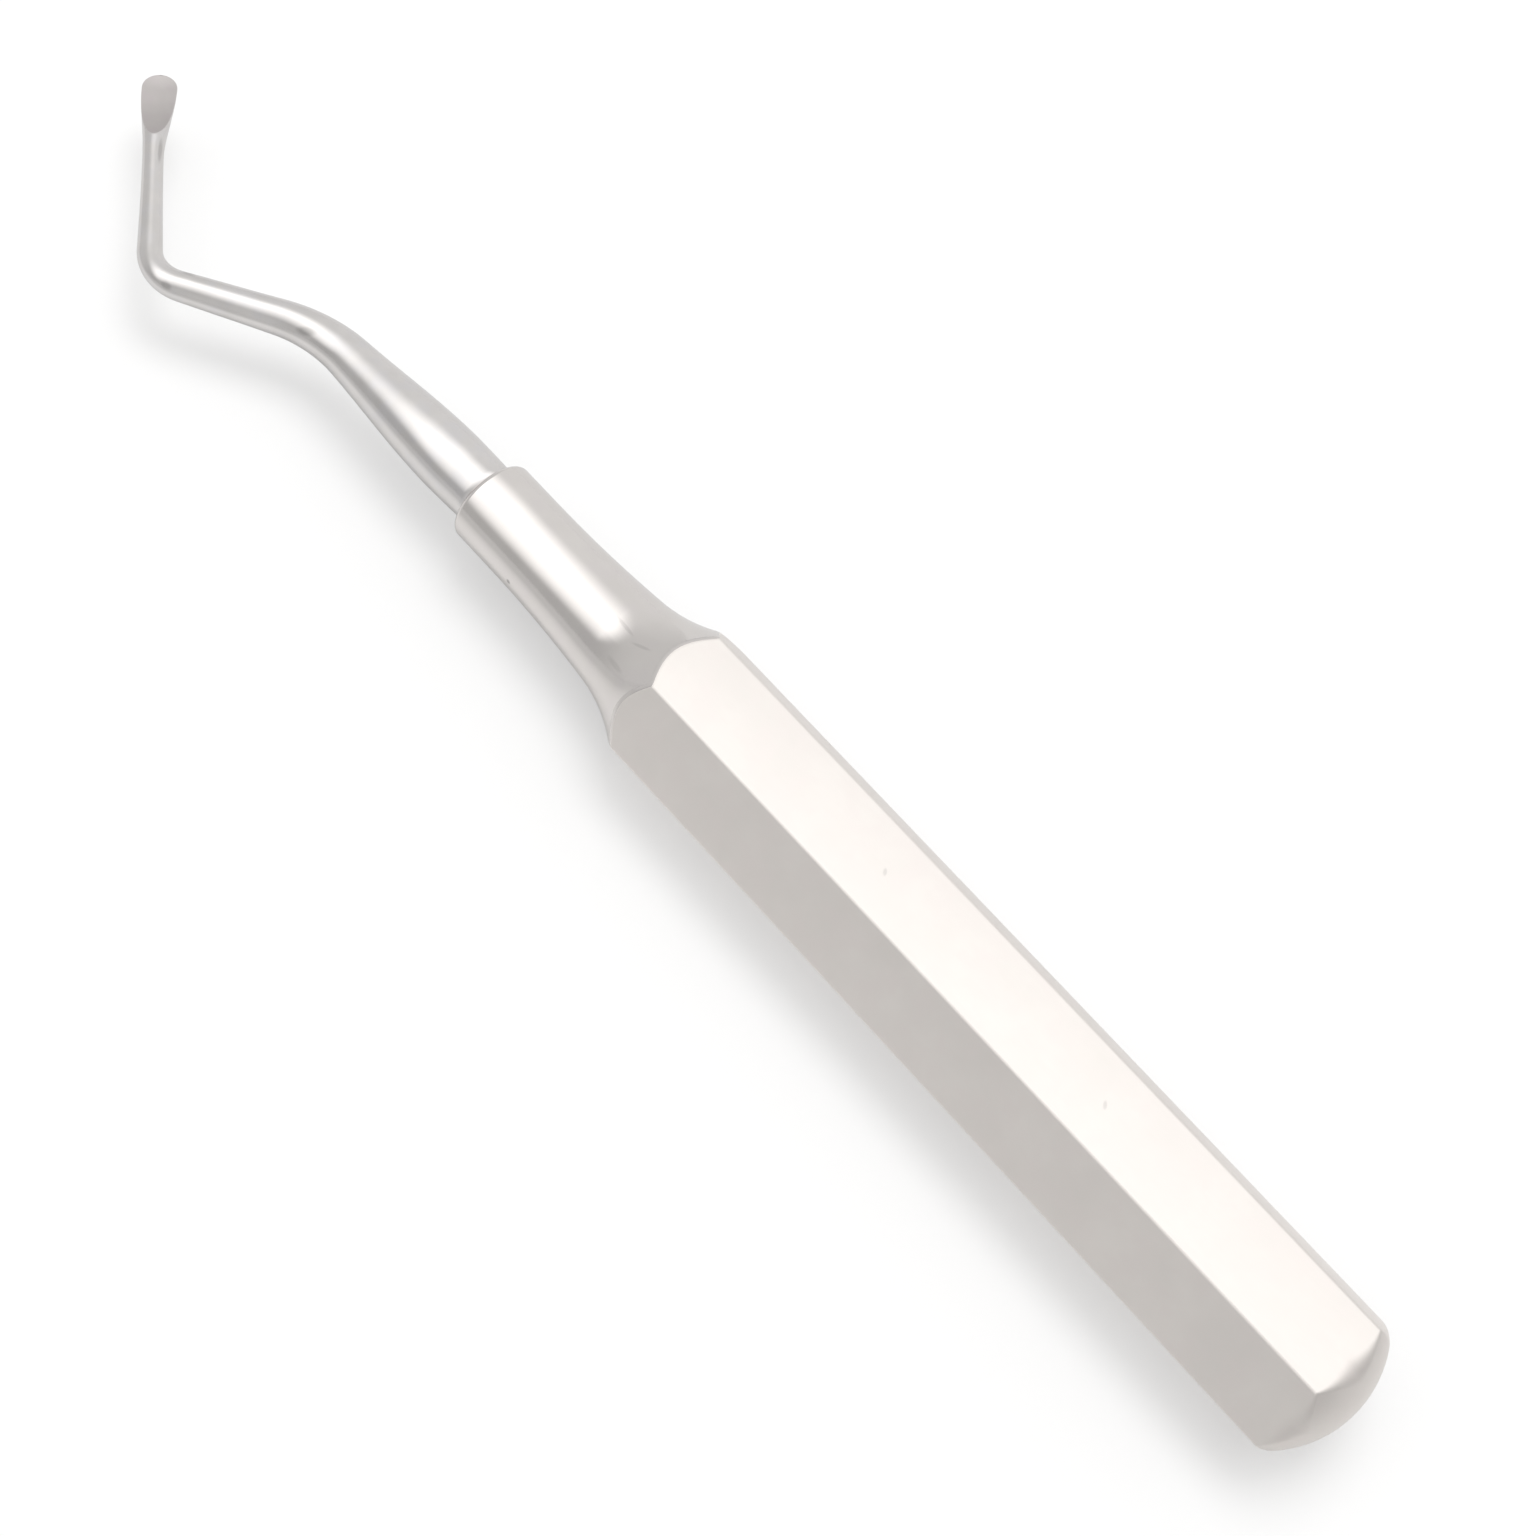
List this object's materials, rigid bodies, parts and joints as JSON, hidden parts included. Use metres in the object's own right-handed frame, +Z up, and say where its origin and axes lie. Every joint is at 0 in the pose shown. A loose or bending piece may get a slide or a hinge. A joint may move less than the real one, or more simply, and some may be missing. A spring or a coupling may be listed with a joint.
{
  "type": "surgical curette",
  "caption": "Single-ended surgical curette with a slim, twice-bent tapering shank, a small spoon-shaped tip and a hexagonal steel handle with a domed butt.",
  "frame": {"origin": "on the flat that the handle rests on, under the middle of the grip", "axes": "+X along the handle from the butt to the working end, +Y towards the side the shank's elbow points to, +Z up from the resting flat, the way the spoon's bowl faces"},
  "size_m": [0.1539, 0.0167, 0.0127],
  "materials": {
    "handle_steel": "satin stainless steel on the grip, polished on the neck and collar",
    "polished_steel": "polished stainless steel"
  },
  "bodies": {
    "root": {"handle": "handle_steel", "working_end": "polished_steel"}
  },
  "joints": []
}
